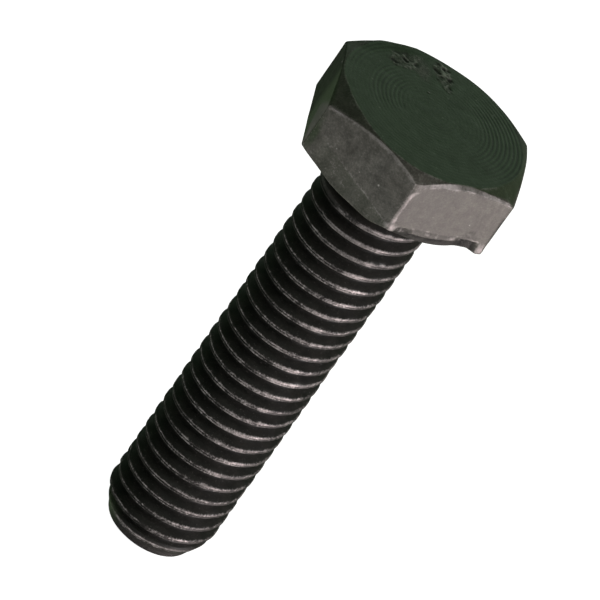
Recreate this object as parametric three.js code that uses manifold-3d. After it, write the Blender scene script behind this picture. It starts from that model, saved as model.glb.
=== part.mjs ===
// Hex bolt, fully threaded, M10 x 1.5 x 40, as one forged and rolled piece of steel.
//
// Units are millimetres. The bolt's axis is Z. The origin is the centre of the
// bearing face under the head, so the head stands above Z = 0 and the threaded
// shank hangs below it. Two corners of the hexagon lie on the X axis, so two
// wrench flats face +Y and -Y.
import * as THREE from 'three';
import { mergeVertices } from 'three/addons/utils/BufferGeometryUtils.js';
import Module from 'manifold-3d';

// ---- driving dimensions (mm) ------------------------------------------------
const ACROSS_FLATS = 16.8;         // for a 17 mm wrench, inside the tolerance 16.57 to 17.00
const HEAD_HEIGHT = 6.4;           // k
const CORNER_ROUND = 0.5;          // rounding of the hexagon's six upright edges
const CHAMFER_ANGLE = 30;          // degrees, head chamfers, from the end faces
const TOP_CHAMFER_CIRCLE = 16.5;   // diameter of the flat top inside its chamfer
const SEAT_CHAMFER_CIRCLE = 15.8;  // diameter of the flat bearing face
const UNDERHEAD_FILLET = 0.5;      // radius between bearing face and neck

const LENGTH = 40.0;               // bearing face to thread end
const THREAD_MAJOR = 9.84;         // crest diameter, inside the 6g range 9.732 to 9.968
const THREAD_MINOR = 8.16;         // root diameter
const PITCH = 1.5;
const CREST_FLAT = PITCH / 8;
const FLANK_HALF_ANGLE = 30;       // degrees, ISO metric 60 degree thread
const NECK_DIAMETER = 9.0;         // rolled blank left plain under the head
const THREAD_TOP = -1.3;           // where the run-out ends
const RUNOUT = 1.2;                // length over which the thread reaches full depth
const END_CHAMFER = 1.0;           // height of the thread end's chamfer
const END_FACE = 7.5;              // diameter of the flat end face

const SEGMENTS = 36;               // sides of every round section
const THREAD_PHASE = 0.655;        // height of one crest at azimuth 0, modulo the pitch

// ---- solids -----------------------------------------------------------------
const wasm = await Module();
wasm.setup();

const toSolid = (geometry) => {
  const g = new THREE.BufferGeometry();
  const flat = geometry.index ? geometry : geometry.clone();
  g.setAttribute('position', flat.attributes.position.clone());
  if (flat.index) g.setIndex(flat.index.clone());
  const merged = mergeVertices(g, 1e-5);
  return new wasm.Manifold(new wasm.Mesh({
    numProp: 3,
    vertProperties: new Float32Array(merged.attributes.position.array),
    triVerts: new Uint32Array(merged.index.array),
  }));
};

const toGeometry = (solid) => {
  const mesh = solid.getMesh();
  const g = new THREE.BufferGeometry();
  g.setAttribute('position', new THREE.BufferAttribute(new Float32Array(mesh.vertProperties), 3));
  g.setIndex(new THREE.BufferAttribute(new Uint32Array(mesh.triVerts), 1));
  g.computeVertexNormals();
  return g;
};

// A turned solid about Z. Points are [radius, height], from the axis at the
// bottom round to the axis at the top.
const turned = (points, segments = SEGMENTS) => {
  const profile = points.map(([r, z]) => new THREE.Vector2(r, z));
  const g = new THREE.LatheGeometry(profile, segments);
  g.rotateX(Math.PI / 2);
  return toSolid(g);
};

// The head: a hexagonal prism with softened upright edges, turned off at both
// ends by a 30 degree chamfer.
const hexagonOutline = () => {
  const shape = new THREE.Shape();
  const inradius = ACROSS_FLATS / 2;
  const tangent = CORNER_ROUND * Math.tan(Math.PI / 6);   // corner to start of its arc
  const corner = inradius / Math.cos(Math.PI / 6);
  const arcSteps = 3;
  const centre = corner - CORNER_ROUND / Math.cos(Math.PI / 6);
  const points = [];
  for (let k = 0; k < 6; k += 1) {
    const a = k * Math.PI / 3;
    for (let s = 0; s <= arcSteps; s += 1) {
      const b = a - Math.PI / 6 + (s / arcSteps) * Math.PI / 3;
      points.push([
        centre * Math.cos(a) + CORNER_ROUND * Math.cos(b),
        centre * Math.sin(a) + CORNER_ROUND * Math.sin(b),
      ]);
    }
  }
  if (tangent <= 0) throw new Error('corner rounding must be positive');
  shape.moveTo(points[0][0], points[0][1]);
  for (const [x, y] of points.slice(1)) shape.lineTo(x, y);
  shape.closePath();
  return shape;
};

const makeHead = () => {
  const prism = toSolid(new THREE.ExtrudeGeometry(hexagonOutline(), {
    depth: HEAD_HEIGHT, bevelEnabled: false, steps: 1,
  }));
  const slope = Math.tan(CHAMFER_ANGLE * Math.PI / 180);
  const outer = ACROSS_FLATS / 2 / Math.cos(Math.PI / 6) + 0.6;
  const rt = TOP_CHAMFER_CIRCLE / 2;
  const rb = SEAT_CHAMFER_CIRCLE / 2;
  const turnedOff = turned([
    [0, 0],
    [rb, 0],
    [outer, (outer - rb) * slope],
    [outer, HEAD_HEIGHT - (outer - rt) * slope],
    [rt, HEAD_HEIGHT],
    [0, HEAD_HEIGHT],
  ], 72);
  return prism.intersect(turnedOff);
};

// The rolled thread: a strip of four lines per turn (root, root, crest, crest)
// wound right-handed round the axis, closed by a fan at each end. The thread
// rises one pitch for each anticlockwise turn seen from the head.
const makeThread = (zLow, zHigh) => {
  const crestRadius = THREAD_MAJOR / 2;
  const rootRadius = THREAD_MINOR / 2;
  const neckRadius = NECK_DIAMETER / 2;
  const flank = (crestRadius - rootRadius) * Math.tan(FLANK_HALF_ANGLE * Math.PI / 180);
  const crest = CREST_FLAT / 2;
  // Height of each line above the middle of the root below the crest.
  const rows = [
    { z: -crest - flank, full: rootRadius },
    { z: -crest, full: crestRadius },
    { z: crest, full: crestRadius },
    { z: crest + flank, full: rootRadius },
  ];
  const fullDepthAt = THREAD_TOP - RUNOUT;
  const radius = (full, z) => {
    const t = THREE.MathUtils.smoothstep(z, fullDepthAt, THREAD_TOP);
    return full + (neckRadius - full) * t;
  };
  const start = THREAD_PHASE + Math.ceil((zLow - THREAD_PHASE) / PITCH) * PITCH;
  const turns = Math.floor((zHigh - start) / PITCH);
  const steps = turns * SEGMENTS;
  const position = [];
  const index = [];
  // Point (step, row); row 4 of a step is row 0 one turn further on.
  const id = (step, row) => (row === 4 ? (step + SEGMENTS) * 4 : step * 4 + row);
  const put = (step, row) => {
    const a = (step % SEGMENTS) * 2 * Math.PI / SEGMENTS;
    const z = start + step * PITCH / SEGMENTS + rows[row].z;
    const r = radius(rows[row].full, z);
    position.push(r * Math.cos(a), r * Math.sin(a), z);
  };
  for (let step = 0; step <= steps; step += 1) {
    for (let row = 0; row < 4; row += 1) put(step, row);
  }
  // One more turn of the first row closes the strip's upper side.
  for (let step = steps + 1; step <= steps + SEGMENTS; step += 1) {
    while (position.length / 3 < step * 4) position.push(0, 0, 0);
    put(step, 0);
  }
  for (let step = 0; step < steps; step += 1) {
    for (let row = 0; row < 4; row += 1) {
      const a = id(step, row);
      const b = id(step + 1, row);
      const c = id(step + 1, row + 1);
      const d = id(step, row + 1);
      index.push(a, b, c, a, c, d);
    }
  }
  // The low end: the first turn of row 0 and the step back down beside it.
  const fan = (loop, centre) => {
    for (let i = 0; i < loop.length; i += 1) {
      index.push(loop[i], centre, loop[(i + 1) % loop.length]);
    }
  };
  const low = [];
  for (let step = 0; step <= SEGMENTS; step += 1) low.push(id(step, 0));
  for (let row = 3; row >= 1; row -= 1) low.push(id(0, row));
  const high = [];
  for (let step = steps + SEGMENTS; step >= steps; step -= 1) high.push(id(step, 0));
  for (let row = 1; row <= 3; row += 1) high.push(id(steps, row));
  const lowCentre = position.length / 3;
  position.push(0, 0, start - 0.5 * PITCH);
  const highCentre = position.length / 3;
  position.push(0, 0, start + (turns + 1.5) * PITCH);
  fan(low, lowCentre);
  fan(high, highCentre);

  // Keep only the points in use, so that the mesh is one closed body.
  const used = new Map();
  const kept = [];
  const tidy = index.map((i) => {
    if (!used.has(i)) {
      used.set(i, kept.length / 3);
      kept.push(position[i * 3], position[i * 3 + 1], position[i * 3 + 2]);
    }
    return used.get(i);
  });
  const g = new THREE.BufferGeometry();
  g.setAttribute('position', new THREE.BufferAttribute(new Float32Array(kept), 3));
  g.setIndex(tidy);
  return toSolid(g);
};

const makeShank = () => {
  const outer = THREAD_MAJOR / 2 + 0.3;
  const endRadius = END_FACE / 2;
  const slope = (THREAD_MAJOR / 2 - endRadius) / END_CHAMFER;
  const envelope = turned([
    [0, -LENGTH],
    [endRadius, -LENGTH],
    [outer, -LENGTH + (outer - endRadius) / slope],
    [outer, THREAD_TOP + 0.4],
    [0, THREAD_TOP + 0.4],
  ]);
  return makeThread(-LENGTH - 2 * PITCH, THREAD_TOP + 3 * PITCH).intersect(envelope);
};

// The plain neck, with its fillet under the head. It reaches a little into
// both the head and the thread's run-out, so that all three join.
const makeNeck = () => {
  const r = NECK_DIAMETER / 2;
  const f = UNDERHEAD_FILLET;
  const points = [[0, THREAD_TOP + 0.2], [r, THREAD_TOP + 0.2]];
  const arcSteps = 4;
  for (let i = 0; i <= arcSteps; i += 1) {
    const a = (i / arcSteps) * Math.PI / 2;
    points.push([r + f - f * Math.cos(a), -f + f * Math.sin(a)]);
  }
  points.push([r + f, 0.6], [0, 0.6]);
  return turned(points);
};

const bolt = makeHead().add(makeNeck()).add(makeShank());

const hexBolt = new THREE.Mesh(
  toGeometry(bolt),
  new THREE.MeshStandardMaterial({ color: 0x3f403c, roughness: 0.45, metalness: 0.85 }),
);
hexBolt.name = 'hex_bolt';

const group = new THREE.Group();
group.add(hexBolt);
export default group;
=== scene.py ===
"""Looks of the hex bolt: one detailed steel mesh in the place of the CAD node, with its material, floor, lights and camera.

Lengths in the mesh code are millimetres, and the finished mesh is scaled to metres. The bolt's axis is Z, the origin
is the centre of the bearing face under the head, and the thread hangs below it.
"""
import math

import bpy
import numpy as np
from mathutils import Matrix, Vector


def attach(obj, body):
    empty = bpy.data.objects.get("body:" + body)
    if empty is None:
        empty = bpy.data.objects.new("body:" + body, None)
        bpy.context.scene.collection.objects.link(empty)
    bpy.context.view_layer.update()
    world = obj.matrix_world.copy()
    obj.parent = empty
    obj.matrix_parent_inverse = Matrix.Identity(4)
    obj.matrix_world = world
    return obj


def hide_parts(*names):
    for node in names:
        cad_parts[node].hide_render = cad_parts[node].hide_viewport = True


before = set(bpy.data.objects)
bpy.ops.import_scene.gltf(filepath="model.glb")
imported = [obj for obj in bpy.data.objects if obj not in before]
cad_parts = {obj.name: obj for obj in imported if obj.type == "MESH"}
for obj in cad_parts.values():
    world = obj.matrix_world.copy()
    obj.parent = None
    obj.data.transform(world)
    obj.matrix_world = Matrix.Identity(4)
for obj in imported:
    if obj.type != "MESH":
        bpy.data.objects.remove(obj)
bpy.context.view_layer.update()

# ---- sizes (mm), the same as the CAD part's ---------------------------------
FLAT = 8.4             # half the width across flats
CORNER_ROUND = 0.5
HEAD = 6.4
TOP_CIRCLE = 8.25      # radius where the top chamfer starts
SEAT_CIRCLE = 7.9      # radius of the bearing face
TAN30 = math.tan(math.radians(30))
PITCH = 1.5
CREST = 4.92
ROOT = 4.08
NECK = 4.5
LENGTH = 40.0
PHASE = 0.655          # height of one crest at azimuth 0, modulo the pitch
THREAD_TOP = -1.3
RUNOUT = 1.2


# ---- repeatable noise ---------------------------------------------------------
def hashed(ix, iy, iz, seed):
    """A number from 0 to 1 for each lattice point."""
    n = (ix.astype(np.int64) * 73856093) ^ (iy.astype(np.int64) * 19349663) ^ (iz.astype(np.int64) * 83492791) ^ (seed * 2654435761)
    n = n & 0xFFFFFFFF
    n = ((n ^ (n >> 15)) * 2246822519) & 0xFFFFFFFF
    n = ((n ^ (n >> 13)) * 3266489917) & 0xFFFFFFFF
    n = n ^ (n >> 16)
    return n / 4294967295.0


def noise(p, size, seed=0):
    """Smooth noise from -1 to 1 with features of about the given size in mm."""
    q = np.asarray(p, float) / size
    i = np.floor(q)
    f = q - i
    f = f * f * f * (f * (f * 6 - 15) + 10)
    i = i.astype(np.int64)
    out = 0.0
    for dx in (0, 1):
        wx = f[..., 0] if dx else 1 - f[..., 0]
        for dy in (0, 1):
            wy = f[..., 1] if dy else 1 - f[..., 1]
            for dz in (0, 1):
                wz = f[..., 2] if dz else 1 - f[..., 2]
                out = out + wx * wy * wz * hashed(i[..., 0] + dx, i[..., 1] + dy, i[..., 2] + dz, seed)
    return out * 2 - 1


def fbm(p, size, octaves=3, seed=0):
    total, weight, norm = 0.0, 1.0, 0.0
    for k in range(octaves):
        total = total + weight * noise(p, size / 2**k, seed + 17 * k)
        norm += weight
        weight *= 0.5
    return total / norm


def smooth(x, a, b):
    t = np.clip((np.asarray(x, float) - a) / (b - a), 0, 1)
    return t * t * (3 - 2 * t)


def bump(x, centre, width):
    return np.exp(-(((np.asarray(x, float) - centre) / width) ** 2))


def interp(x, xs, ys):
    """A smooth line through the given points."""
    return np.interp(x, xs, ys)


# ---- the mesh under construction ----------------------------------------------
verts = []      # lists of (n, 3) arrays
wear = []       # bare metal showing, and partly painted highlight on the thread crests and by the right flat's front corner, 0 to 1
zone = []       # 0 flats and seat, 1 top face, 2 thread
dark = []       # thick oxide and grime, and painted shade in recesses, under the head and on sides turned from the lamps, 0 to 1
tint = []       # greener oxide, and painted green reflection of the surround, 0 to 1
count = 0
quads, tris = [], []


def add_points(p, w, zn, dk=0.0, gn=0.0):
    """Adds points and gives their indices."""
    global count
    p = np.asarray(p, float).reshape(-1, 3)
    verts.append(p)
    for bag, value in ((wear, w), (zone, zn), (dark, dk), (tint, gn)):
        bag.append(np.clip(np.broadcast_to(np.asarray(value, float), (len(p),)), 0, 2).copy())
    ids = np.arange(count, count + len(p))
    count += len(p)
    return ids


def join(a, b):
    """Quads between two rings of the same number of points. The order of the rings runs from the top face's centre
    outwards, down and in under the head and down the shank."""
    quads.append(np.stack([a, b, np.roll(b, -1), np.roll(a, -1)], 1))


def bridge(a, angles_a, b, angles_b):
    """Triangles between two rings with different numbers of points, both in order of angle from the same start."""
    i = j = 0
    na, nb = len(a), len(b)
    ta = np.concatenate([angles_a, [angles_a[0] + 2 * np.pi]])
    tb = np.concatenate([angles_b, [angles_b[0] + 2 * np.pi]])
    out = []
    while i < na or j < nb:
        if j >= nb or (i < na and ta[i + 1] <= tb[j + 1]):
            out.append((a[i % na], b[j % nb], a[(i + 1) % na]))
            i += 1
        else:
            out.append((a[i % na], b[j % nb], b[(j + 1) % nb]))
            j += 1
    tris.append(np.array(out))


def ring(r, z, angles, w=0.0, zn=0.0, dk=0.0, gn=0.0):
    r = np.broadcast_to(r, angles.shape)
    z = np.broadcast_to(z, angles.shape)
    return add_points(np.stack([r * np.cos(angles), r * np.sin(angles), z], 1), w, zn, dk, gn)


def around(deg, xs, ys):
    """A closed line through points given by azimuth in degrees."""
    return np.interp(deg, xs, ys, period=360)


# ---- head: top face -------------------------------------------------------------
# Columns are closer together where the shallow punch marks are.
top_angles = np.radians(np.concatenate([np.arange(94, 170, 1.2), np.arange(170, 454, 3.0)]))
top_angles = np.sort(np.mod(top_angles, 2 * np.pi))

# Patches of scuffed and bruised metal near the edge, as (x, y, half length, half width, turn in degrees, strength).
SCUFFS = [
    (-5.72, 2.95, 1.35, 0.92, 68, 1.0), (-5.55, 4.45, 0.40, 0.30, 120, 0.8),
    (-3.30, 5.55, 1.25, 0.80, 140, 1.0), (-1.95, 4.45, 0.75, 0.36, 150, 0.9),
    (-2.22, 2.02, 0.20, 0.15, 60, 1.0),
]
RUBBED = (-4.25, 3.75, 1.8, 0.95, 135)           # brownish patch between them
FEED = 0.377                                     # from one turning groove to the next
FACING_CENTRE = (-0.35, 0.2)


def facing_strength(x, y):
    """How plainly the turning grooves show: strongest over two opposite parts of the face, where light streaks along
    them. It sets how deep the grooves are cut and how strong their painted highlight and shade lines are.
    """
    cx, cy = x - FACING_CENTRE[0], y - FACING_CENTRE[1]
    r = np.hypot(cx, cy)
    az = np.degrees(np.arctan2(cy, cx)) % 360

    def sector(middle, half, soft):
        d = np.abs((az - middle + 180) % 360 - 180)
        return 1 - smooth(d, half - soft, half + soft)

    s = 0.16 + 0.84 * sector(42, 38, 16) * smooth(r, 3.9, 5.3)
    s = np.maximum(s, 0.80 * sector(208, 36, 14) * smooth(r, 2.2, 3.3) * (1 - smooth(r, 5.2, 6.2)))
    s = np.maximum(s, 0.60 * sector(185, 22, 12) * smooth(r, 6.6, 7.2))
    return s * smooth(r, 0.3, 1.2)


def top_height(x, y):
    """Height of the top face: turning grooves, dents and a slight unevenness. Gives the wear of the dents' rims and
    the dirt in them too."""
    r = np.hypot(x, y)
    az = np.degrees(np.arctan2(y, x)) % 360
    p = np.stack([x, y, np.full_like(x, 3.0)], -1)
    z = np.full_like(x, HEAD)
    rr = np.hypot(x - FACING_CENTRE[0], y - FACING_CENTRE[1])
    wave = np.cos((rr - 3.36) / FEED * 2 * np.pi)
    z = z + 0.0125 * (wave - 1) * facing_strength(x, y)
    z = z + 0.007 * fbm(p, 1.8, 3, 21) - 0.012 * np.clip(noise(p, 0.5, 8) - 0.6, 0, 1) * 2
    # metal pushed up towards the edge behind the marks
    z = z + 0.17 * smooth(r, 7.2, 8.3) * around(az, [124, 136, 148, 160, 172, 182], [0, 0.3, 1, 1, 0.6, 0])
    scuff = np.zeros_like(x)
    for cx, cy, a, b, turn, strength in SCUFFS:
        t = math.radians(turn)
        u = ((x - cx) * math.cos(t) + (y - cy) * math.sin(t)) / a
        v = (-(x - cx) * math.sin(t) + (y - cy) * math.cos(t)) / b
        d = np.sqrt(u * u + v * v) + 0.30 * noise(p, 0.7, 31)
        scuff = np.maximum(scuff, strength * (1 - smooth(d, 0.80, 1.25)))
    # winding ridges of displaced metal with dark gaps between them
    n = noise(p, 0.62, 33) + 0.45 * noise(p, 0.31, 34)
    ridge = np.exp(-((n / 0.26) ** 2))
    lump = 0.5 + 0.5 * noise(p, 0.36, 35)
    gap = smooth(np.abs(n), 0.28, 0.52) * smooth(noise(p, 0.8, 36), -0.35, 0.25)
    z = z + scuff * (0.050 * ridge * (0.4 + lump) - 0.055 * gap)
    cx, cy, a, b, turn = RUBBED
    t = math.radians(turn)
    u = ((x - cx) * math.cos(t) + (y - cy) * math.sin(t)) / a
    v = (-(x - cx) * math.sin(t) + (y - cy) * math.cos(t)) / b
    rubbed = 1 - smooth(np.sqrt(u * u + v * v) + 0.35 * noise(p, 0.8, 37), 0.4, 1.15)
    rim = scuff * ridge * (0.35 + 0.65 * smooth(lump, 0.25, 0.70))
    hole = 0.95 * scuff * gap
    rub = np.maximum(0.75 * scuff, rubbed)
    return z, np.maximum(0.62 * rim, 0.29 * rub * (0.6 + 0.4 * lump) * (1 - scuff * gap)), np.maximum(hole, 0.50 * rub), rub


def top_ring(r):
    x, y = r * np.cos(top_angles), r * np.sin(top_angles)
    z, rim, hole, rub = top_height(x, y)
    return add_points(np.stack([x, y, z], 1), rim, 1.0 - 0.42 * rub, hole)


centre = add_points([[0, 0, HEAD - 0.004]], 0.0, 1.0)
radii = np.concatenate([[0.12, 0.25, 0.4, 0.55, 0.7, 0.85], np.arange(1.0, 7.25, 0.0754)])
last = None
for r in radii:
    here = top_ring(r)
    if last is None:
        tris.append(np.stack([np.full(len(here), centre[0]), here, np.roll(here, -1)], 1))
    else:
        join(last, here)
    last = here

# ---- head: sides ------------------------------------------------------------------
near = np.array([0, 0.35, 0.75, 1.15, 1.6, 2.2, 3.0, 4.0])
parts = []
for k in range(6):
    step = 0.62 if k == 5 else 1.7
    middle = np.linspace(k * 60 + 4, k * 60 + 56, int(round(52 / step)) + 1)[1:-1]
    parts += [k * 60 + near, middle, (k + 1) * 60 - near[:0:-1]]
H = np.radians(np.sort(np.concatenate(parts)))
DEG = np.degrees(H)


def hexagon(angle):
    """Radius of the hexagon's outline, with its corners on the X axis and every 60 degrees, and how far along its
    flat each point lies from the flat's middle."""
    a = np.mod(angle, np.pi / 3) - np.pi / 6       # from the flat's middle
    flat = FLAT / np.cos(a)
    c = FLAT / math.cos(math.pi / 6) - CORNER_ROUND / math.cos(math.pi / 6)
    d = np.pi / 6 - np.abs(a)                       # from the corner
    arc = c * np.cos(d) + np.sqrt(np.maximum(CORNER_ROUND**2 - (c * np.sin(d)) ** 2, 0))
    tangent = math.atan2(c * math.sin(math.pi / 6), FLAT)
    r = np.where(np.abs(a) > tangent, arc, flat)
    return r, FLAT * np.tan(a)


R, T = hexagon(H)
R = R + 0.07 * around(DEG, [126, 140, 160, 174], [0, 1, 1, 0])      # the flat behind the marks is bowed
sector = np.floor(DEG / 60).astype(int)                 # flat number; its middle is at 30 + 60 * sector degrees
FRONT, RIGHT, FARLEFT = 4, 5, 3                          # middles at 270, 330 and 210 degrees
on = [sector == k for k in range(6)]
xyH = np.stack([8.4 * np.cos(H), 8.4 * np.sin(H), np.zeros_like(H)], 1)


def near_corner(deg, width):
    """1 at the corner with that azimuth, falling to 0 a few degrees away."""
    d = np.degrees(np.angle(np.exp(1j * (H - math.radians(deg)))))
    return np.exp(-((d / width) ** 2))


full = np.ones_like(H)

# The top chamfer is turned a little off centre, so its circle reaches further out on one side.
start = around(
    DEG,
    [0, 15, 33, 60, 90, 115, 126, 140, 156, 165, 173, 181, 190, 203, 212, 220, 228, 240, 249, 267, 280, 294, 307, 321, 341],
    [7.95, 7.98, 8.04, 8.18, 8.26, 8.18, 8.30, 8.47, 8.55, 8.55, 8.47, 8.32, 8.3, 8.3, 8.25, 8.08, 7.88, 7.80, 7.82, 8.08, 8.36, 8.52, 8.4, 8.3, 8.07],
)
start = start + 0.02 * noise(xyH, 2.2, 3)
# The edge between chamfer and flat is broken by a narrow bevel, wide where the right flat was rubbed.
inset = 0.045 + 0.02 * (0.5 + 0.5 * noise(xyH, 1.1, 61))
inset = np.where(on[RIGHT], interp(T, [-4.85, -3.44, -2.05, -1.2, -0.2, 0.7, 1.61, 3.47, 4.5, 4.85], [0.06, 0.13, 0.20, 0.28, 0.34, 0.30, 0.23, 0.20, 0.16, 0.06]) * (1 + 0.15 * noise(xyH, 0.7, 62)), inset)
r_up = R - inset
start = np.minimum(start, r_up - 0.10)
z_up = HEAD - np.maximum(r_up - start, 0) * TAN30 + 0.012 * noise(xyH, 1.1, 41)
rim_line = interp(T, [-4.89, -3.44, -2.05, -0.18, 1.61, 3.47, 4.61], [5.61, 6.13, 6.49, 6.61, 6.35, 6.0, 5.8])
right_up = np.minimum(rim_line - 0.446 * inset + 0.02 * noise(xyH, 0.6, 45), 6.43)
z_up = np.where(on[RIGHT], z_up + (right_up - z_up) * smooth(4.85 - np.abs(T), 0.0, 0.7), z_up)
z_bevel = z_up - 0.07
z_bevel = np.where(
    on[RIGHT],
    interp(T, [-4.85, -4.47, -3.97, -2.58, -0.45, 1.24, 3.0, 4.66, 4.85], [4.85, 5.18, 5.55, 5.93, 6.17, 6.05, 5.80, 5.47, 5.40]) + 0.045 * noise(xyH, 0.8, 43) + 0.035 * noise(xyH, 0.35, 44),
    z_bevel,
)
z_bevel = np.minimum(z_bevel, z_up - 0.05)

# underside: a chamfer on most sides, and torn or straight where the real one is
z_low = (R - SEAT_CIRCLE) * TAN30
z_low = np.where(on[FRONT], z_low - 0.20 * bump(T, 3.2, 1.3) + 0.10 * bump(T, -2.8, 1.4), z_low)
z_low = np.where(on[FARLEFT], 0.99 - 0.05 * bump(T, 0, 2.5), z_low)
right_low = interp(T, [-4.85, -3.4, -2.2, -1.1, 0.5, 1.2, 1.7, 2.75, 3.9, 4.3, 4.85], [1.0, 0.75, 0.60, 0.52, 0.52, 0.62, 0.74, 0.62, 0.44, 0.30, 0.34])
z_low = np.where(on[RIGHT], right_low + 0.02 * noise(xyH, 0.45, 78), z_low)
corner_c = near_corner(360, 3.0)
z_low = np.where(on[0], z_low - 0.55 * corner_c, z_low)
z_low = np.clip(z_low + 0.012 * noise(xyH, 0.9, 77), 0.06, 1.3)
seat = np.full_like(H, SEAT_CIRCLE)
seat = np.where(on[FARLEFT], np.minimum(SEAT_CIRCLE, R - 0.75), seat)
seat = np.minimum(seat, R - 0.45)


def rounded(a, b, c, radius, n):
    """The points of an arc that rounds corner b of the path a, b, c, for every column at once."""
    u = a - b
    v = c - b
    lu, lv = np.linalg.norm(u, axis=1), np.linalg.norm(v, axis=1)
    u, v = u / lu[:, None], v / lv[:, None]
    cosine = np.clip((u * v).sum(1), -1, 1)
    half = np.arccos(cosine) / 2
    reach = np.minimum(radius / np.tan(half), 0.45 * np.minimum(lu, lv))
    rad = reach * np.tan(half)
    start_, end_ = b + u * reach[:, None], b + v * reach[:, None]
    middle = (u + v) / np.linalg.norm(u + v, axis=1)[:, None]
    o = b + middle * (rad / np.sin(half))[:, None]
    a0 = np.arctan2(start_[:, 1] - o[:, 1], start_[:, 0] - o[:, 0])
    a1 = np.arctan2(end_[:, 1] - o[:, 1], end_[:, 0] - o[:, 0])
    turn = np.angle(np.exp(1j * (a1 - a0)))
    out = []
    for k in range(n):
        t = a0 + turn * k / (n - 1)
        out.append(np.stack([o[:, 0] + rad * np.cos(t), o[:, 1] + rad * np.sin(t)], 1))
    return out


P_in = np.stack([full * 7.27, full * HEAD], 1)
P0 = np.stack([start, full * HEAD], 1)
PU = np.stack([r_up, z_up], 1)
PL = np.stack([R, z_bevel], 1)
P2 = np.stack([R, z_low], 1)
P3 = np.stack([seat, full * 0.0], 1)
P4 = np.stack([full * 6.6, full * 0.0], 1)

# Lines on the right flat: the foot of its smooth face, and the crease above its torn lip.
face_foot = interp(T, [-4.85, -4.2, -3.7, -2.6, -1.34, 0.14, 2.34, 3.79, 4.4, 4.85], [1.30, 1.34, 1.45, 1.46, 1.51, 1.50, 1.62, 1.42, 1.1, 0.9])
face_foot = face_foot + 0.05 * noise(xyH, 0.7, 47) + 0.03 * noise(xyH, 0.3, 48)
lip_foot = interp(T, [-2.9, -0.94, 0.49, 1.71, 2.56], [0.95, 0.89, 0.93, 1.07, 1.26]) + 0.03 * noise(xyH, 0.4, 49)


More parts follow.
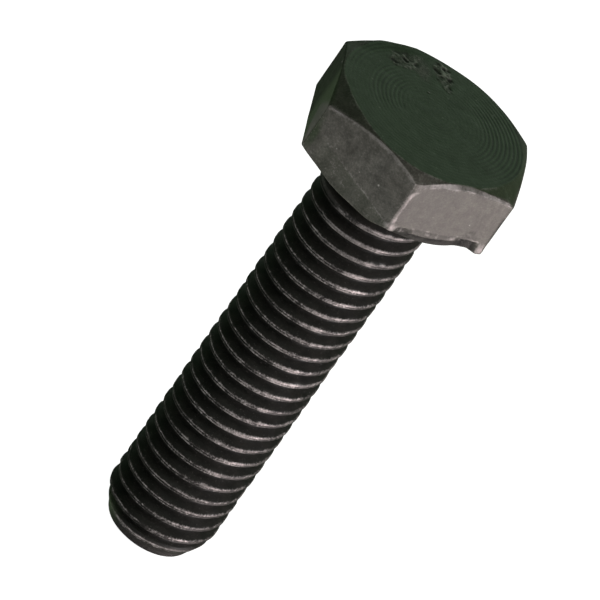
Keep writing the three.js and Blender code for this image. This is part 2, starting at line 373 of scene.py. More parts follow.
def side_shift(r, z, w):
    """Moves points of the wrench flats in or out a little: tool marks, torn metal and burrs."""
    p = np.stack([r * np.cos(H), r * np.sin(H), z], 1)
    fine = 0.5 + 0.5 * noise(p, 0.42, 55)
    coarse = 0.5 + 0.5 * noise(p, 0.9, 56)
    body = smooth(z, 0.3, 1.0) * (1 - smooth(z, z_bevel - 0.5, z_bevel))
    out = body * (0.010 * fbm(p, 1.6, 3, 101) - 0.012)
    dk = np.zeros_like(r)
    # The trimming line low on the front flat: the metal below it lies a little further in.
    line = 2.12 - 0.185 * (T - 0.5) + 0.03 * noise(xyH, 0.8, 59)
    fade = np.where(on[FRONT], smooth(T, -4.2, -0.5), 0.0)
    out -= 0.05 * fade * (1 - smooth(z, line - 0.16, line + 0.03)) * smooth(z, 0.3, 0.9)
    w = np.maximum(w, fade * (0.36 * bump(z, line + 0.02, 0.07) * (0.5 + 0.5 * coarse) + 0.20 * (1 - smooth(z, line - 0.10, line + 0.05)) * smooth(noise(p, 0.35, 63), 0.2, 0.8)))
    other = np.where(on[0] | on[1] | on[2], 0.5, 0.0)
    low_line = 1.55 + 0.25 * noise(xyH, 3.0, 9)
    out -= 0.025 * other * (1 - smooth(z, low_line - 0.14, low_line + 0.03)) * smooth(z, 0.2, 0.8)
    # Right flat, below its smooth face: a torn lip in the middle, recesses towards both corners.
    d = face_foot - z
    e = lip_foot - z
    under = smooth(d, -0.02, 0.08)
    grit = noise(p, 0.24, 57)
    lip = smooth(T, -3.0, -2.3) * (1 - smooth(T, 1.7, 2.4))
    left = smooth(T, -4.2, -3.9) * (1 - smooth(T, -3.0, -2.3))
    right_ = smooth(T, 1.7, 2.3) * (1 - smooth(T, 3.82, 3.98))
    hook = smooth(T, 3.96, 4.10)
    shape = lip * (-0.05 * bump(d, 0.07, 0.07) + 0.05 * (coarse - 0.5) + 0.025 * grit - 0.32 * smooth(e, -0.02, 0.16))
    shape += left * (-0.24 * smooth(d, 0.02, 0.22) * (0.7 + 0.5 * fine) + 0.05 * grit - 0.12 * smooth(d, 0.35, 0.8))
    shape += right_ * (0.035 * bump(d, -0.02, 0.09) - 0.34 * smooth(d, 0.05, 0.26) * (0.75 + 0.4 * coarse) + 0.06 * grit)
    shape += hook * (0.05 * bump(z, 0.75, 0.5) + 0.02 * grit)
    shape -= 0.10 * bump(T, 3.92, 0.09) * smooth(d, 0.25, 0.45)
    out += np.where(on[RIGHT], shape * np.maximum(under, right_ * 0.6), 0)
    # painted shade in the recesses below the right flat's smooth face, under its torn lip and in the slit beside the
    # hook
    foot_shade = lip * (0.40 * bump(d, 0.05, 0.06) * coarse + 0.18 * smooth(d, 0.0, 0.1) * (0.5 + fine) + smooth(e, -0.03, 0.06))
    foot_shade += left * smooth(d, 0.02, 0.14) * (0.62 + 0.38 * fine)
    foot_shade += right_ * smooth(d, 0.08, 0.20) * (0.70 + 0.45 * coarse) + 0.9 * bump(T, 3.93, 0.07) * smooth(d, 0.25, 0.5)
    dk = np.where(on[RIGHT], np.clip(foot_shade, 0, 1), dk)
    foot_wear = lip * (0.50 * bump(d, 0.30, 0.20) * smooth(fine, 0.45, 0.9) + 0.55 * bump(d, -0.03, 0.07) * smooth(grit, 0.1, 0.6))
    foot_wear += right_ * (0.80 * bump(d, -0.02, 0.08) * smooth(T, 2.2, 3.2) * (0.5 + 0.6 * fine) + 0.30 * smooth(grit, 0.35, 0.75) * smooth(d, 0.1, 0.3))
    foot_wear += left * 0.25 * smooth(grit, 0.3, 0.7) * smooth(d, 0.05, 0.3)
    foot_wear += hook * 0.80 * bump(z, 0.85, 0.5) * (0.6 + 0.5 * fine) * (1 - smooth(T, 4.55, 4.72))
    w = np.where(on[RIGHT], np.maximum(w, foot_wear), w)
    # painted shade: a dark stripe down the right flat's far edge, where its rounded corner turns away from the light
    far_edge_shade = smooth(z, 0.9, 2.0) * (1 - smooth(z, 3.3, 4.9)) * (0.75 + 0.25 * coarse)
    dk = np.where(on[RIGHT], np.maximum(dk, 0.80 * smooth(T, 4.49, 4.64) * far_edge_shade), dk)
    # The painted shade runs on round the far side of the right flat's right-hand corner.
    dk = np.maximum(dk, 0.70 * (1 - smooth(DEG, 0.6, 3.6)) * on[0] * far_edge_shade)
    # Burr at the foot of the front corner.
    burr = np.where(on[RIGHT], bump(T, -4.45, 0.46) * bump(z, 1.27 + 0.1 * noise(xyH, 0.5, 58), 0.36), 0)
    burr = burr + np.where(on[FRONT], bump(T, 4.84, 0.42) * bump(z, 1.32, 0.32), 0)
    out += 0.13 * burr * (0.3 + 1.0 * fine)
    w = np.maximum(w, np.clip(burr * (0.45 + 1.0 * fine), 0, 0.95))
    dk = dk * (1 - np.clip(burr * 1.5, 0, 1))
    # painted shade over part of the far left flat, which faces away from the lamps
    dk = np.where(on[FARLEFT], np.maximum(dk, 0.72 * (1 - smooth(T, -0.8, 1.6))), dk)
    # painted green reflection of the surround on the far left flat and along the front flat's left edge, and greener
    # oxide under the trimming line
    edge = 4.85 - 2.5 * np.sin(np.pi * np.clip((z - 0.95) / 4.4, 0, 1)) + 0.3 * noise(p, 1.2, 91)
    gn = np.where(on[FARLEFT], 1 - smooth(T, edge - 0.6, edge + 0.2), 0.0)
    gn = np.where(on[FRONT], np.maximum(gn, 0.28 * (1 - smooth(z, line - 0.10, line + 0.05)) * smooth(T, -4.6, -2.5) * (0.6 + 0.6 * coarse)), gn)
    gn = np.where(on[FRONT], np.maximum(gn, (1 - smooth(T + 0.25 * noise(p, 0.9, 92), -4.5, -3.95)) * bump(z, 2.6, 1.6)), gn)
    # pale flecks low on the front flat's left edge
    low_edge = np.where(on[FRONT], (1 - smooth(T, -3.9, -3.2)) * bump(z, z_low + 0.2, 0.25), 0.0)
    w = np.maximum(w, 0.42 * low_edge * smooth(grit, 0.05, 0.5))
    return out, w, dk, gn


HEX_LIMIT = R + 0.16


def head_row(points, w, zn=0.0):
    r, z = points[:, 0].copy(), points[:, 1].copy()
    w = np.broadcast_to(np.asarray(w, float), r.shape).copy()
    out, w, dk, gn = side_shift(r, z, w)
    r = np.minimum(r + out, HEX_LIMIT)
    return ring(r, z, H, w, zn, dk, gn)


def steps_between(a, b, n):
    """n rows strictly between two rows."""
    return [a * (1 - k / (n + 1)) + b * k / (n + 1) for k in range(1, n + 1)]


speck = 0.5 + 0.5 * noise(xyH, 0.8, 12)
fleck = 0.5 + 0.5 * noise(xyH, 0.35, 13)
right_edge = np.where(on[RIGHT], 1.0, 0.0)
front_edge = np.where(on[FRONT], 1.0, 0.0)

arc0 = rounded(P_in, P0, PU, full * 0.30, 4)
arcU = rounded(P0, PU, PL, full * (0.07 + 0.10 * right_edge + 0.05 * front_edge), 4)
arcL = rounded(PU, PL, P2, full * (0.07 + 0.05 * right_edge), 4)
arc2 = rounded(PL, P2, P3, full * 0.13, 5)


def top_row(r):
    """A row of the top face with the sides' columns."""
    x, y = r * np.cos(H), r * np.sin(H)
    return top_height(x, y)


z, rim, hole, rub = top_row(P_in[:, 0])
first = ring(P_in[:, 0], z, H, rim, 1.0 - 0.42 * rub, hole)
bridge(last, top_angles, first, H)
last = first
for row in steps_between(P_in, arc0[0], 11):
    z, rim, hole, rub = top_row(row[:, 0])
    here = ring(row[:, 0], z, H, rim, 1.0 - 0.42 * rub, hole)
    join(last, here)
    last = here
drop = top_row(arc0[0][:, 0])[0] - HEAD
# painted green reflection on the top chamfer, strongest where it looks back into the green surround behind the bolt
chamfer_green_reflection = around(DEG, [0, 60, 110, 150, 200, 262, 300, 322, 340], [0.95, 0.8, 0.5, 0.4, 0.3, 0.1, 0.0, 0.35, 0.9])
edge_fleck = around(DEG, [0, 200, 225, 262, 278, 300, 325, 342, 356], [0.05, 0.08, 0.42, 0.45, 0.22, 0.55, 0.25, 0.34, 0.2])
# painted shade on the far side of the top chamfer, where its flecks of wear are held back too
far_chamfer_shade = around(DEG, [35, 60, 165, 185], [0, 0.85, 0.85, 0])
for k, pts in enumerate(arc0):
    flecks = edge_fleck * (0.3 + 1.1 * fleck) * (1.0 if k in (1, 2) else 0.5) * (1 - far_chamfer_shade)
    here = ring(pts[:, 0], pts[:, 1] + drop * (1 - k / 6), H, flecks, 1.0 - 0.3 * k, far_chamfer_shade * (0.5 if k == 0 else 1.0), chamfer_green_reflection)
    join(last, here)
    last = here
for k, pts in enumerate(steps_between(arc0[-1], arcU[0], 3)):
    here = ring(pts[:, 0], pts[:, 1] + drop * (0.5 - 0.14 * k) + 0.012 * noise(np.stack([pts[:, 0] * np.cos(H), pts[:, 0] * np.sin(H), pts[:, 1]], 1), 0.9, 90), H, 0.13 * speck * around(DEG, [240, 270, 322, 336], [0.3, 1, 1, 0.3]), 0.0, 0.6 * far_chamfer_shade, chamfer_green_reflection)
    join(last, here)
    last = here
# worn edge between chamfer and flat
front_line = np.where(on[FRONT], 0.46 + 0.45 * bump(T, -4.0, 0.7) + 0.45 * bump(T, 0.5, 1.0) + 0.75 * bump(T, 3.9, 1.1), 0.0)
others_line = np.where(on[RIGHT] | on[FRONT], 0.0, 0.14)
edge_w = front_line * (0.60 + 0.9 * fleck) + others_line * fleck + right_edge * (0.14 + 0.20 * speck + 0.22 * fleck + 0.08 * bump(T, -2.5, 1.4)) * smooth(T, -4.9, -4.3)
rows = arcU + steps_between(arcU[-1], arcL[0], 2) + arcL
for k, pts in enumerate(rows):
    peak = math.sin(math.pi * (k + 1) / (len(rows) + 1)) ** 0.6
    spots = 0.36 * right_edge * smooth(0.5 * fleck + 0.5 * speck, 0.50, 0.72) * (1.0 if k in (6, 7, 8) else 0.3)
    here = head_row(pts, np.clip((edge_w + spots) * peak, 0, 1))
    join(last, here)
    last = here
from_corner = np.abs(np.angle(np.exp(1j * (H * 6))) / 6)          # radians from the nearest corner
corner_wear = np.exp(-((from_corner / math.radians(1.2)) ** 2)) * (0.05 + 0.16 * speck)
# A bright band down the right flat's edge by its front corner, wider higher up: worn metal, and partly a painted
# highlight where the rounded corner turns to the light.
left_rim_wear_and_sheen = np.where(on[RIGHT], 0.34 + 0.40 * fleck, 0.0)
steps = np.concatenate([np.linspace(0.06, 0.60, 10), np.linspace(0.64, 0.985, 16)])
for f in steps:
    pts = arcL[-1] * (1 - f) + arc2[0] * f
    uneven = noise(np.stack([H * 8.4, pts[:, 1], H * 0], 1), 0.5, 19)
    width = 0.34 + 0.43 * smooth(pts[:, 1], 3.9, 5.2) ** 2 + 0.10 * uneven
    corner_wear_and_sheen = left_rim_wear_and_sheen * (1.0 + 0.4 * uneven) * (1 - smooth(T + 4.85, width - 0.12, width + 0.10))
    here = head_row(pts, np.maximum(corner_wear, corner_wear_and_sheen))
    join(last, here)
    last = here
for pts in arc2:
    here = head_row(pts, 0.0)
    join(last, here)
    last = here
# painted shade under the head: strong under the right flat's undercut, light all round
for f in (0.35, 0.7, 1.0):
    pts = arc2[-1] * (1 - f) + P3 * f
    here = ring(pts[:, 0] - np.where(on[RIGHT], 0.25 * (1 - f), 0.0), pts[:, 1], H, 0.0, 0.0, np.where(on[RIGHT], 0.9, 0.3))
    join(last, here)
    last = here
here = ring(P4[:, 0], P4[:, 1], H, 0.0, 0.0, 0.3)
join(last, here)
last = here

# ---- shank ---------------------------------------------------------------------------
N = 112
A = np.arange(N) * 2 * np.pi / N
here = ring(6.2, 0.0, A)
bridge(last, H, here, A)
last = here
for r, z in [(5.5, 0.0)] + [(5.0 - 0.5 * math.sin(t), -0.5 + 0.5 * math.cos(t)) for t in np.radians([0, 18, 36, 54, 72, 90])] + [(NECK, -0.8)]:
    here = ring(r, z, A)
    join(last, here)
    last = here

# Lines along the helix, as heights from the crest's middle, which lies a little below the nominal one.
U = np.array([-0.225, -0.185, -0.135, -0.085, -0.04, 0.0, 0.04, 0.085, 0.135, 0.185, 0.225, 0.265, 0.38, 0.50, 0.62, 0.75, 0.88, 1.00, 1.12, 1.235])
M = len(U)
CREST_HALF = 0.195
CREST_SHIFT = -0.10
Z_HIGH, Z_LOW = -1.1, -39.45


def section(u):
    """Radius of the thread's section at a height u from the crest's middle."""
    d = np.abs(np.where(u > 0.75, u - 1.5, u))
    flank = CREST - np.maximum(d - CREST_HALF, 0) / TAN30
    # rounded root
    k = 0.10
    r = ROOT + k * np.logaddexp(0, (flank - ROOT) / k) - k * math.log(2) * np.exp(-np.maximum(flank - ROOT, 0) / k)
    # softened crest corners
    r = r - 0.026 * smooth(d, 0.13, 0.22) * (1 - smooth(d, 0.22, 0.40))
    return r


def end_envelope(z):
    """The chamfered end, as a limit on the radius."""
    return interp(z, [-40.0, -39.45, -38.7, -37.6, -37.0], [3.72, 3.98, 4.40, 4.93, 5.3])


J0 = int(math.floor((Z_LOW - PITCH - PHASE) / PITCH)) * M
J1 = int(math.ceil((Z_HIGH - PHASE) / PITCH) + 1) * M
Js = np.arange(J0, J1 + 1)
turn_, row_ = np.floor_divide(Js, M), np.mod(Js, M)
zz = PHASE + CREST_SHIFT + PITCH * turn_[None, :] + U[row_][None, :] + PITCH * (A / (2 * np.pi))[:, None]
aa = np.repeat(A[:, None], len(Js), 1)
uu = np.repeat(U[row_][None, :], N, 0)
inside = (zz > Z_LOW + 0.012) & (zz < Z_HIGH - 0.012)

p0 = np.stack([CREST * np.cos(aa), CREST * np.sin(aa), zz], -1)
vv = np.where(uu > 0.75, uu - 1.5, uu)
d = np.abs(vv)
rad = section(uu)
az = np.degrees(aa)
crestness = 1 - smooth(d, 0.212, 0.258)
# rolled crests: two lips with a seam between them, worn and chipped here and there
seam_here = around(az, [0, 40, 90, 140, 200, 292, 306, 326, 345], [0.35, 0.8, 0.9, 0.8, 1, 1, 0.45, 0.3, 0.3]) * smooth(noise(p0, 2.6, 200), -0.75, -0.05)
seam = bump(vv, -0.03 + 0.02 * noise(p0, 2.0, 205), 0.042) * seam_here
rad = rad - 0.060 * seam
upper_lip = smooth(vv, -0.02, 0.03)
# bare metal on the crests' lower lips, by azimuth: partly wear, partly painted highlight
lower_lip_highlight = around(az, [0, 30, 90, 150, 200, 240, 256, 266, 316, 326, 338], [0.4, 0.7, 0.8, 0.7, 0.35, 0.12, 0.35, 1, 1, 0.4, 0.15])
worn = smooth(fbm(p0, 1.7, 2, 210), 0.05, 0.5)
rad = rad - crestness * (0.035 * worn + 0.012 * (0.5 + 0.5 * noise(p0, 0.5, 220)))
chips = smooth(noise(p0, 0.75, 230), 0.62, 0.85) * smooth(noise(p0, 4.0, 240), -0.2, 0.4)
rad = rad - crestness * 0.10 * chips
rad = rad + (1 - crestness) * (0.012 * fbm(p0, 0.9, 2, 250) + 0.006 * noise(p0, 0.35, 251))
# two nicks on the front
for n_az, n_z, n_deep in ((251, -4.28, 0.16), (226, -10.1, 0.15)):
    near_nick = np.exp(-(((az - n_az) / 3.0) ** 2) - ((zz - n_z) / 0.3) ** 2)
    rad = rad - n_deep * near_nick * crestness
# run-out under the head, and the chamfered end
t = smooth(zz, THREAD_TOP - RUNOUT, THREAD_TOP)
rad = rad * (1 - t) + NECK * t
env = end_envelope(zz) + 0.02 * noise(p0, 1.2, 260)
k = 0.05
cut = -k * np.logaddexp(-rad / k, -env / k)
rad = np.where(zz < -36.5, cut, rad)
z_move = 0.012 * noise(p0, 1.3, 270) * (1 - t)
# the last crest before the head is wider, not fully rolled
last_turn = np.repeat((turn_ + np.where(vv[0] > 0.75, 1, 0))[None, :], N, 0) == -3
z_move = z_move + 0.24 * last_turn * smooth(vv, -0.02, 0.10) * (1 - smooth(vv, 0.25, 0.75)) * around(az, [150, 200, 250, 268, 290, 320], [0, 1, 1, 0.6, 0.25, 0])

# Strength of the crests' bare metal round the bolt: partly real wear, partly painted highlight, peaking where the
# lamps' highlight falls on the crests.
crest_highlight_level = around(az, [0, 40, 120, 180, 215, 245, 262, 285, 303, 318, 330, 345], [0.64, 0.7, 0.7, 0.6, 0.45, 0.50, 0.70, 0.75, 0.96, 1.18, 1.0, 0.68])
ragged = 0.5 + 0.5 * noise(p0, 0.45, 281)
w = crestness * (0.50 + 0.30 * worn + 0.35 * chips + 0.30 * noise(p0, 0.6, 280)) * crest_highlight_level * (upper_lip + (1 - upper_lip) * lower_lip_highlight)
w = w * (1 - 0.92 * seam) * (0.75 + 0.4 * ragged) * (1 - t)
# The crests' bare metal is cut back along their upper edge at the front, by azimuth: more painted highlight shaping.
w = w * (1 - 0.85 * smooth(vv, 0.10, 0.17) * around(az, [190, 215, 285, 308], [0, 1, 1, 0]))
w = w * (1 - 0.55 * smooth(-zz, 28.0, 33.0) * (1 - upper_lip))
# Cut back the same way at the front right, and a little towards the end: more painted highlight shaping.
w = w * (1 - 0.60 * smooth(vv, 0.15, 0.22) * around(az, [285, 300, 335, 350], [0, 1, 1, 0])) * (1 - 0.15 * smooth(-zz, 26.0, 33.0))
w = w * (1 - 0.45 * last_turn * around(az, [150, 200, 285, 310], [0, 1, 1, 0]))
w = w * (1 - 0.8 * last_turn * smooth(vv, 0.0, 0.05) * (1 - smooth(vv, 0.13, 0.17)) * around(az, [150, 200, 262, 285, 300], [0, 1, 1, 0.4, 0]))
grime = np.clip(0.9 * seam + 0.35 * (1 - crestness) * smooth(noise(p0, 0.8, 285), 0.1, 0.7), 0, 1)
w = np.where(zz < -38.0, w * 0.8 + (0.12 + 0.14 * around(az, [215, 240, 330, 345], [0, 1, 1, 0]) * upper_lip) * smooth(zz, -39.4, -38.6) * crestness, w)
# Painted green reflection on one side of the chamfered end, about 175 to 262 degrees round; there the crests' bare
# metal and the grime are held back.
tip_green_side = around(az, [175, 195, 232, 262], [0, 1, 1, 0])
grime = np.maximum(grime, 0.6 * smooth(-zz, 38.7, 39.3) * (1 - np.clip(w * 2, 0, 1)) * (1 - tip_green_side))
w = w * (1 - 0.8 * tip_green_side * smooth(-zz, 38.0, 38.6))

tip_green_reflection = 0.90 * smooth(-zz, 37.8, 38.5) * tip_green_side
tip_green_side_A = around(np.degrees(A), [175, 195, 232, 262], [0, 1, 1, 0])

top_ids = ring(NECK, Z_HIGH, A)
join(last, top_ids)
low_radius = end_envelope(np.full(N, Z_LOW))
low_ids = ring(low_radius, Z_LOW, A, 0.0, 2.0, 0.6 * (1 - tip_green_side_A), 0.9 * tip_green_side_A)
ids = np.empty(zz.shape, np.int64)
own = np.where(inside)
ids[own] = add_points(
    np.stack([rad[own] * np.cos(aa[own]), rad[own] * np.sin(aa[own]), zz[own] + z_move[own]], 1), np.clip(w[own], 0, 1), 2.0, grime[own], tip_green_reflection[own]
)
ids = np.where(zz >= Z_HIGH - 0.012, top_ids[:, None], ids)
ids = np.where(zz <= Z_LOW + 0.012, low_ids[:, None], ids)
# column N is column 0 one turn, M lines, further on
nxt = np.empty_like(ids)
nxt[:-1] = ids[1:]
nxt[-1, :-M] = ids[0, M:]
nxt[-1, -M:] = top_ids[0]
a_, b_, c_, d_ = ids[:, 1:], ids[:, :-1], nxt[:, :-1], nxt[:, 1:]
cells = np.stack([a_, b_, c_, d_], -1).reshape(-1, 4)
same = np.stack([cells[:, i] == cells[:, (i + 1) % 4] for i in range(4)], 1)
bad = same.sum(1)
quads.append(cells[bad == 0])
for i in range(4):
    pick = cells[(bad == 1) & same[:, i]]
    keep = [x for x in range(4) if x != (i + 1) % 4]
    tris.append(pick[:, keep])

# the end: chamfer, rounded edge and a slightly dished, sheared face
last = low_ids
for r, z in [(3.93, -39.60), (3.86, -39.76), (3.78, -39.88), (3.66, -39.955), (3.50, -39.99), (3.25, -40.0), (2.8, -39.985), (2.2, -39.97), (1.5, -39.955), (0.8, -39.95)]:
    p = np.stack([r * np.cos(A), r * np.sin(A), np.full(N, z)], 1)
    jitter = 0.02 * noise(p, 1.1, 300) * (1 if r < 3.3 else 0.3)
    here = ring(r, np.maximum(z + jitter, -LENGTH), A, 0.22 * bump(r, 3.70, 0.12), 2.0, 0.5 * (1 - tip_green_side_A) if r > 3.8 else 0.0, 0.9 * tip_green_side_A if r > 3.7 else 0.0)
    join(last, here)
    last = here
tip = add_points([[0, 0, -39.95]], 0.0, 2.0)
tris.append(np.stack([last, np.full(N, tip[0]), np.roll(last, -1)], 1))

# ---- into Blender ---------------------------------------------------------------------
V = np.concatenate(verts) * 0.001
W = np.concatenate(wear)
Z = np.concatenate(zone)
D = np.concatenate(dark)
G = np.concatenate(tint)
Q = np.concatenate(quads)
F3 = np.concatenate(tris)
mesh = bpy.data.meshes.new("hex_bolt_steel")
mesh.from_pydata(V.tolist(), [], Q.tolist() + F3.tolist())
mesh.validate()
mesh.update()
# where the grooves' painted highlight and shade lines show, on the top face
GROOVE_SHADE = np.where((np.abs(V[:, 2] - 0.0064) < 0.0004) & (Z > 0.6) & (Z < 1.5), facing_strength(V[:, 0] * 1000, V[:, 1] * 1000), 0.0)
for name, data in (("wear", W), ("zone", Z), ("dark", D), ("tint", G), ("groove", GROOVE_SHADE)):
    att = mesh.attributes.new(name, "FLOAT", "POINT")
    att.data.foreach_set("value", data.astype(np.float32))
mesh.polygons.foreach_set("use_smooth", np.ones(len(mesh.polygons), bool))
bolt = bpy.data.objects.new("hex_bolt_steel", mesh)
bpy.context.scene.collection.objects.link(bolt)
print("MESH", len(V), "verts", len(Q), "quads", len(F3), "tris", "total tris", 2 * len(Q) + len(F3))

# ---- material ----------------------------------------------------------------------------
mat = bpy.data.materials.new("blackened_steel")
mat.use_nodes = True
nt = mat.node_tree
nt.nodes.clear()


def node(kind, **inputs):
    n = nt.nodes.new(kind)
    for key, value in inputs.items():
        if key.startswith("_"):
            setattr(n, key[1:], value)
        else:
            n.inputs[key.replace("__", " ")].default_value = value
    return n


def link(a, b):
    nt.links.new(a, b)


out = node("ShaderNodeOutputMaterial")
bsdf = node("ShaderNodeBsdfPrincipled")
link(bsdf.outputs["BSDF"], out.inputs["Surface"])
coords = node("ShaderNodeTexCoord")
wear_in = node("ShaderNodeAttribute", _attribute_name="wear")
zone_in = node("ShaderNodeAttribute", _attribute_name="zone")
dark_in = node("ShaderNodeAttribute", _attribute_name="dark")
green_oxide_and_reflection_in = node("ShaderNodeAttribute", _attribute_name="tint")


def tex_noise(size_mm, detail=3.0, rough=0.55, distortion=0.0):
    n = node("ShaderNodeTexNoise", Scale=1000.0 / size_mm, Detail=detail, Roughness=rough, Distortion=distortion)
    link(coords.outputs["Object"], n.inputs["Vector"])
    return n.outputs["Fac"]


def remap(value, a, b, c, d):
    n = node("ShaderNodeMapRange")
    n.inputs["From Min"].default_value, n.inputs["From Max"].default_value = a, b
    n.inputs["To Min"].default_value, n.inputs["To Max"].default_value = c, d
    link(value, n.inputs["Value"])
    return n.outputs["Result"]


def math_node(op, a, b=0.0):
    n = node("ShaderNodeMath", _operation=op)
    for i, x in enumerate((a, b)):
        if isinstance(x, (int, float)):
            n.inputs[i].default_value = x
        else:
            link(x, n.inputs[i])
    return n.outputs[0]


def mix(factor, a, b):
    n = node("ShaderNodeMix", _data_type="RGBA")
    for sock, x in ((n.inputs[0], factor), (n.inputs[6], a), (n.inputs[7], b)):
        if isinstance(x, tuple):
            sock.default_value = (*x, 1.0)
        elif isinstance(x, (int, float)):
            sock.default_value = x
        else:
            link(x, sock)
    return n.outputs[2]


is_top = remap(zone_in.outputs["Fac"], 0.2, 1.0, 0.0, 1.0)
is_thread = remap(zone_in.outputs["Fac"], 1.0, 2.0, 0.0, 1.0)
mottle = tex_noise(1.1, 5.0, 0.62)
patch = tex_noise(3.6, 3.0, 0.5, 0.6)
grain = tex_noise(0.17, 3.0, 0.65)
pits = tex_noise(0.55, 2.0, 0.5)

# oxide: warm grey on the wrench flats, black in the thread, and dark green on the turned top, partly oxide and partly
# painted reflection of a dark green surround
flat_tone = mix(remap(mottle, 0.34, 0.66, 0, 1), (0.067, 0.0635, 0.0525), (0.130, 0.123, 0.105))
flat_tone = mix(remap(patch, 0.45, 0.7, 0.0, 0.27), flat_tone, (0.060, 0.064, 0.056))
top_tone = mix(remap(patch, 0.35, 0.65, 0, 1), (0.0118, 0.0310, 0.0088), (0.0202, 0.0475, 0.0148))
top_tone = mix(remap(mottle, 0.60, 0.75, 0.0, 0.5), top_tone, (0.030, 0.030, 0.026))
thread_tone = mix(remap(mottle, 0.3, 0.7, 0, 1), (0.010, 0.0105, 0.0085), (0.026, 0.024, 0.0205))
# painted highlight and shade: the turning grooves show as faint lighter and darker lines in the top's colour
sep = node("ShaderNodeSeparateXYZ")
link(coords.outputs["Object"], sep.inputs[0])
gx = math_node("ADD", sep.outputs[0], -FACING_CENTRE[0] * 0.001)
gy = math_node("ADD", sep.outputs[1], -FACING_CENTRE[1] * 0.001)
gr = math_node("SQRT", math_node("ADD", math_node("MULTIPLY", gx, gx), math_node("MULTIPLY", gy, gy)))
gr = math_node("MULTIPLY", math_node("ADD", gr, -0.00336), 2 * math.pi / (FEED * 0.001))
lines = math_node("COSINE", gr)
groove_in = node("ShaderNodeAttribute", _attribute_name="groove")
lines = math_node("MULTIPLY", lines, groove_in.outputs["Fac"])
top_tone = mix(remap(lines, -1.0, 1.0, 0.0, 1.0), mix(0.80, top_tone, (0.0, 0.0, 0.0)), mix(0.60, top_tone, (0.066, 0.094, 0.058)))
oxide = mix(is_top, flat_tone, top_tone)
oxide = mix(is_thread, oxide, thread_tone)
# green: greener oxide, and painted green reflection of the surround
oxide = mix(math_node("MULTIPLY", green_oxide_and_reflection_in.outputs["Fac"], 0.95), oxide, (0.042, 0.060, 0.029))
speckle = node("ShaderNodeVectorMath", _operation="SCALE")
link(oxide, speckle.inputs[0])
link(remap(grain, 0.32, 0.68, 0.74, 1.26), speckle.inputs["Scale"])
oxide = speckle.outputs[0]
oxide = mix(math_node("MULTIPLY", remap(grain, 0.60, 0.78, 0.0, 0.32), math_node("SUBTRACT", 1.0, is_thread)), oxide, (0.14, 0.135, 0.13))
# near black: thick oxide and grime, and painted shade, from the dark attribute
soot_and_shade = math_node("MULTIPLY", dark_in.outputs["Fac"], remap(pits, 0.3, 0.6, 0.75, 1.0))
oxide = mix(soot_and_shade, oxide, (0.006, 0.0065, 0.005))
# a few bright specks
cells = node("ShaderNodeTexVoronoi", Scale=1000.0 / 1.3)
link(coords.outputs["Object"], cells.inputs["Vector"])
bright = math_node("MULTIPLY", remap(cells.outputs["Distance"], 0.045, 0.085, 0.75, 0.0), math_node("SUBTRACT", 1.0, is_thread))
bright = math_node("MULTIPLY", bright, remap(is_top, 0.0, 1.0, 1.0, 0.25))
oxide = mix(bright, oxide, (0.42, 0.40, 0.37))

chafed = remap(sep.outputs[2], -0.0085, -0.0045, 1.0, 0.25)       # the first crests under the head are less torn
mask = math_node("ADD", wear_in.outputs["Fac"], remap(grain, 0.3, 0.7, -0.16, 0.16))
torn = math_node("ADD", remap(pits, 0.35, 0.65, -0.16, 0.10), remap(grain, 0.35, 0.65, -0.12, 0.12))
torn = math_node("MULTIPLY", torn, remap(wear_in.outputs["Fac"], 0.06, 0.25, 0.0, 1.0))
torn = math_node("MULTIPLY", torn, chafed)
mask = math_node("ADD", mask, math_node("MULTIPLY", torn, is_thread))
mask = remap(mask, 0.10, 0.85, 0.0, 1.0)
bare = mix(remap(mottle, 0.3, 0.7, 0, 1), (0.31, 0.285, 0.274), (0.46, 0.426, 0.412))
bare = mix(math_node("MULTIPLY", math_node("MULTIPLY", remap(grain, 0.56, 0.70, 0.0, 0.8), is_thread), chafed), bare, (0.82, 0.77, 0.76))
link(mix(mask, oxide, bare), bsdf.inputs["Base Color"])
link(math_node("MULTIPLY", mask, 0.45), bsdf.inputs["Metallic"])
rough_o = math_node("ADD", remap(mottle, 0.25, 0.75, 0.44, 0.56), remap(grain, 0.3, 0.7, -0.05, 0.05))
rough_o = math_node("ADD", rough_o, math_node("MULTIPLY", soot_and_shade, 0.25))
rough_n = node("ShaderNodeMix", _data_type="FLOAT")
link(mask, rough_n.inputs[0])
link(rough_o, rough_n.inputs[2])
rough_n.inputs[3].default_value = 0.40
link(rough_n.outputs[0], bsdf.inputs["Roughness"])
bsdf.inputs["Specular IOR Level"].default_value = 0.5

b1 = node("ShaderNodeBump", Strength=0.5, Distance=0.00003)
link(grain, b1.inputs["Height"])
b2 = node("ShaderNodeBump", Strength=0.55, Distance=0.00007)
link(mottle, b2.inputs["Height"])
link(b1.outputs["Normal"], b2.inputs["Normal"])
link(b2.outputs["Normal"], bsdf.inputs["Normal"])
mesh.materials.append(mat)

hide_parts("hex_bolt")
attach(bolt, "root")

# ---- floor ----------------------------------------------------------------------------------
fm = bpy.data.meshes.new("floor")
s = 6.0
fm.from_pydata([(-s, -s, -0.0401), (s, -s, -0.0401), (s, s, -0.0401), (-s, s, -0.0401)], [], [(0, 1, 2, 3)])
floor = bpy.data.objects.new("floor", fm)
bpy.context.scene.collection.objects.link(floor)
fmat = bpy.data.materials.new("pale_floor")
fmat.use_nodes = True
fb = fmat.node_tree.nodes["Principled BSDF"]
fb.inputs["Base Color"].default_value = (0.82, 0.82, 0.82, 1)
fb.inputs["Roughness"].default_value = 0.9
fb.inputs["Specular IOR Level"].default_value = 0.0
fb.inputs["Emission Color"].default_value = (1, 1, 1, 1)
fb.inputs["Emission Strength"].default_value = 1.0
fm.materials.append(fmat)

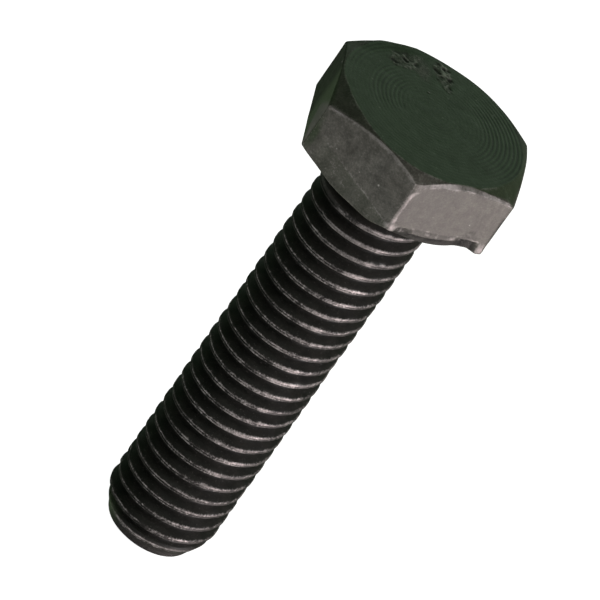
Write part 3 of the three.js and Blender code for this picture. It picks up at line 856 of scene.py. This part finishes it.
# ---- camera, at the photograph's viewing angle --------------------------------------------------
cam = bpy.data.cameras.new("camera")
cam.sensor_width = 36.0
cam.lens = 441.669
cam.clip_start, cam.clip_end = 0.01, 30.0
camera = bpy.data.objects.new("camera", cam)
RIGHT_V, UP_V, BACK_V = (0.680917, 0.540488, 0.494192), (-0.678514, 0.21161, 0.703449), (0.27563, -0.814306, 0.510817)
PLACE = (0.161452, -0.478205, 0.285551)
camera.matrix_world = Matrix((
    (RIGHT_V[0], UP_V[0], BACK_V[0], PLACE[0]),
    (RIGHT_V[1], UP_V[1], BACK_V[1], PLACE[1]),
    (RIGHT_V[2], UP_V[2], BACK_V[2], PLACE[2]),
    (0, 0, 0, 1),
))
bpy.context.scene.collection.objects.link(camera)
bpy.context.scene.camera = camera

# ---- lights ----------------------------------------------------------------------------------------
# Soft boxes round the bolt, as (name, azimuth, height angle, distance, width, height, power, colour). As on a light
# table, some shine from below the level of the floor, which lets their light through.
LIGHTS = [
    ("right_low", 5, -34, 0.5, 0.26, 0.26, 1.35, (1.0, 0.838, 0.854)),
    ("rim_right", 7, 18, 0.5, 0.20, 0.16, 1.18, (1.0, 0.94, 0.96)),
    ("front_right", 318, -18, 0.5, 0.24, 0.30, 0.12, (1.0, 0.82, 0.84)),
    ("front_high", 285, 55, 0.6, 0.35, 0.35, 0.30, (0.90, 1.0, 0.86)),
    ("back", 110, 12, 0.6, 0.45, 0.25, 0.18, (0.92, 1.0, 0.90)),
    ("back_high", 108, 36, 0.6, 0.30, 0.30, 0.158, (0.655, 1.0, 0.59)),
]
for name, azimuth, elevation, distance, wide, high, power, colour in LIGHTS:
    a, e = math.radians(azimuth), math.radians(elevation)
    d = Vector((math.cos(a) * math.cos(e), math.sin(a) * math.cos(e), math.sin(e)))
    light = bpy.data.lights.new(name, "AREA")
    light.shape = "RECTANGLE"
    light.size, light.size_y = wide, high
    light.energy = power
    light.color = colour
    lamp = bpy.data.objects.new(name, light)
    lamp.rotation_mode = "QUATERNION"
    lamp.rotation_quaternion = (-d).to_track_quat("-Z", "Y")
    lamp.location = Vector((0, 0, -0.012)) + d * distance
    lamp.visible_camera = False
    bpy.context.scene.collection.objects.link(lamp)
floor.visible_shadow = False
floor.visible_glossy = False

world = bpy.data.worlds.new("studio")
bpy.context.scene.world = world
world.use_nodes = True
wn = world.node_tree
backdrop = wn.nodes["Background"]
rays = wn.nodes.new("ShaderNodeLightPath")
choose = wn.nodes.new("ShaderNodeMixShader")
pale = wn.nodes.new("ShaderNodeBackground")
way = wn.nodes.new("ShaderNodeTexCoord")
dot = wn.nodes.new("ShaderNodeVectorMath")
dot.operation = "DOT_PRODUCT"
dot.inputs[1].default_value = (-0.32, 0.947, 0.0)
ramp = wn.nodes.new("ShaderNodeMapRange")
ramp.inputs["From Min"].default_value, ramp.inputs["From Max"].default_value = -0.1, 0.6
tint = wn.nodes.new("ShaderNodeMix")
tint.data_type = "RGBA"
tint.inputs[6].default_value = (0.002, 0.003, 0.002, 1)
tint.inputs[7].default_value = (0.016, 0.050, 0.018, 1)
wn.links.new(way.outputs["Generated"], dot.inputs[0])
wn.links.new(dot.outputs["Value"], ramp.inputs["Value"])
wn.links.new(ramp.outputs["Result"], tint.inputs[0])
wn.links.new(tint.outputs[2], backdrop.inputs["Color"])
pale.inputs["Color"].default_value = (1, 1, 1, 1)
wn.links.new(rays.outputs["Is Camera Ray"], choose.inputs[0])
wn.links.new(backdrop.outputs[0], choose.inputs[1])
wn.links.new(pale.outputs[0], choose.inputs[2])
wn.links.new(choose.outputs[0], wn.nodes["World Output"].inputs["Surface"])
bpy.context.scene.view_settings.view_transform = "Standard"
